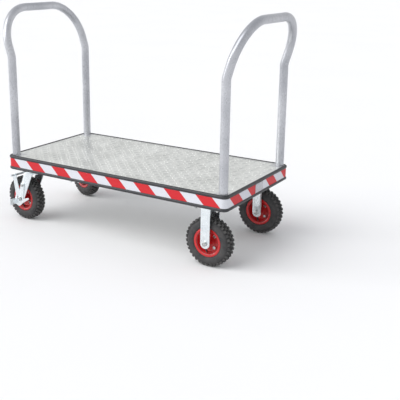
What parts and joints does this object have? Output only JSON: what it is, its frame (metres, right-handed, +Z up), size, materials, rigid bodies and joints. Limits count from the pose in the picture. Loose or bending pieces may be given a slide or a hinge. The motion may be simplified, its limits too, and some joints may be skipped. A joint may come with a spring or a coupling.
{
  "type": "platform truck",
  "caption": "Platform truck with a tread-plate deck, striped bumper, lift-out bow handles, rigid casters and braked swivel casters on knobby pneumatic wheels.",
  "frame": {"origin": "on the floor under the centre of the deck", "axes": "+X along the deck towards the rigid casters, +Y across the deck, +Z up"},
  "size_m": [1.3475, 0.61, 1.0552],
  "materials": {
    "tread_aluminium": "satin rolled tread plate",
    "frame_aluminium": "mill finish",
    "cast_aluminium": "fine cast",
    "edge_aluminium": "bright",
    "handle_aluminium": "satin tube",
    "bumper_vinyl": "satin extruded vinyl",
    "tape_white": "retroreflective",
    "tape_red": "retroreflective",
    "cover_grey": "silver film",
    "zinc_steel": "bright zinc plate",
    "bright_steel": "zinc plate",
    "red_paint": "gloss",
    "tyre_rubber": "matte",
    "tube_rubber": "matte"
  },
  "bodies": {
    "deck": {"tread_plate": "tread_aluminium", "side_rails": "frame_aluminium", "end_rails": "frame_aluminium", "cross_members": "frame_aluminium", "caster_pads": "frame_aluminium", "corner_castings": "cast_aluminium", "edge_strip": "edge_aluminium", "bumper_profile": "bumper_vinyl", "tape_white": "tape_white", "tape_red": "tape_red", "joint_covers": "cover_grey", "caster_studs": "bright_steel", "rigid_near_fork": "zinc_steel", "rigid_near_axle": "bright_steel", "rigid_far_fork": "zinc_steel", "rigid_far_axle": "bright_steel", "swivel_near_top_plate": "zinc_steel", "swivel_near_balls": "bright_steel", "swivel_near_kingpin": "bright_steel", "swivel_far_top_plate": "zinc_steel", "swivel_far_balls": "bright_steel", "swivel_far_kingpin": "bright_steel"},
    "left_handle": {"left_handle": "handle_aluminium"},
    "right_handle": {"right_handle": "handle_aluminium"},
    "rigid_near_wheel": {"rigid_near_tyre": "tyre_rubber", "rigid_near_inner_tube": "tube_rubber", "rigid_near_rim": "red_paint", "rigid_near_rim_bolts": "bright_steel", "rigid_near_hub": "red_paint", "rigid_near_bearings": "bright_steel"},
    "rigid_far_wheel": {"rigid_far_tyre": "tyre_rubber", "rigid_far_inner_tube": "tube_rubber", "rigid_far_rim": "red_paint", "rigid_far_rim_bolts": "bright_steel", "rigid_far_hub": "red_paint", "rigid_far_bearings": "bright_steel"},
    "swivel_near_wheel": {"swivel_near_tyre": "tyre_rubber", "swivel_near_inner_tube": "tube_rubber", "swivel_near_rim": "red_paint", "swivel_near_rim_bolts": "bright_steel", "swivel_near_hub": "red_paint", "swivel_near_bearings": "bright_steel"},
    "swivel_far_wheel": {"swivel_far_tyre": "tyre_rubber", "swivel_far_inner_tube": "tube_rubber", "swivel_far_rim": "red_paint", "swivel_far_rim_bolts": "bright_steel", "swivel_far_hub": "red_paint", "swivel_far_bearings": "bright_steel"},
    "swivel_near_caster": {"swivel_near_fork": "zinc_steel", "swivel_near_axle": "bright_steel", "swivel_near_brake_pivots": "bright_steel"},
    "swivel_near_brake": {"swivel_near_brake_lever": "zinc_steel"},
    "swivel_far_caster": {"swivel_far_fork": "zinc_steel", "swivel_far_axle": "bright_steel", "swivel_far_brake_pivots": "bright_steel"},
    "swivel_far_brake": {"swivel_far_brake_lever": "zinc_steel"}
  },
  "joints": [
    {"name": "left_handle_lift", "type": "slide", "parent": "deck", "child": "left_handle", "axis": [0, 0, 1], "range_m": [0, 0.12]},
    {"name": "right_handle_lift", "type": "slide", "parent": "deck", "child": "right_handle", "axis": [0, 0, 1], "range_m": [0, 0.12]},
    {"name": "rigid_near_spin", "type": "hinge", "parent": "deck", "child": "rigid_near_wheel", "pos_m": [0.502, -0.244, 0.11], "axis": [0, -1, 0], "continuous": true},
    {"name": "rigid_far_spin", "type": "hinge", "parent": "deck", "child": "rigid_far_wheel", "pos_m": [0.502, 0.244, 0.11], "axis": [0, -1, 0], "continuous": true},
    {"name": "swivel_near_turn", "type": "hinge", "parent": "deck", "child": "swivel_near_caster", "pos_m": [-0.506, -0.225, 0.25], "axis": [0, 0, 1], "continuous": true},
    {"name": "swivel_near_spin", "type": "hinge", "parent": "swivel_near_caster", "child": "swivel_near_wheel", "pos_m": [-0.57084, -0.22047, 0.11], "axis": [-0.0698, -0.9976, 0], "continuous": true},
    {"name": "swivel_near_brake_press", "type": "hinge", "parent": "swivel_near_caster", "child": "swivel_near_brake", "pos_m": [-0.55089, -0.22186, 0.184], "axis": [-0.0698, -0.9976, 0], "range_deg": [0, 8]},
    {"name": "swivel_far_turn", "type": "hinge", "parent": "deck", "child": "swivel_far_caster", "pos_m": [-0.506, 0.225, 0.25], "axis": [0, 0, 1], "continuous": true},
    {"name": "swivel_far_spin", "type": "hinge", "parent": "swivel_far_caster", "child": "swivel_far_wheel", "pos_m": [-0.56782, 0.24509, 0.11], "axis": [-0.309, -0.9511, 0], "continuous": true},
    {"name": "swivel_far_brake_press", "type": "hinge", "parent": "swivel_far_caster", "child": "swivel_far_brake", "pos_m": [-0.5488, 0.23891, 0.184], "axis": [-0.309, -0.9511, 0], "range_deg": [0, 8]}
  ]
}
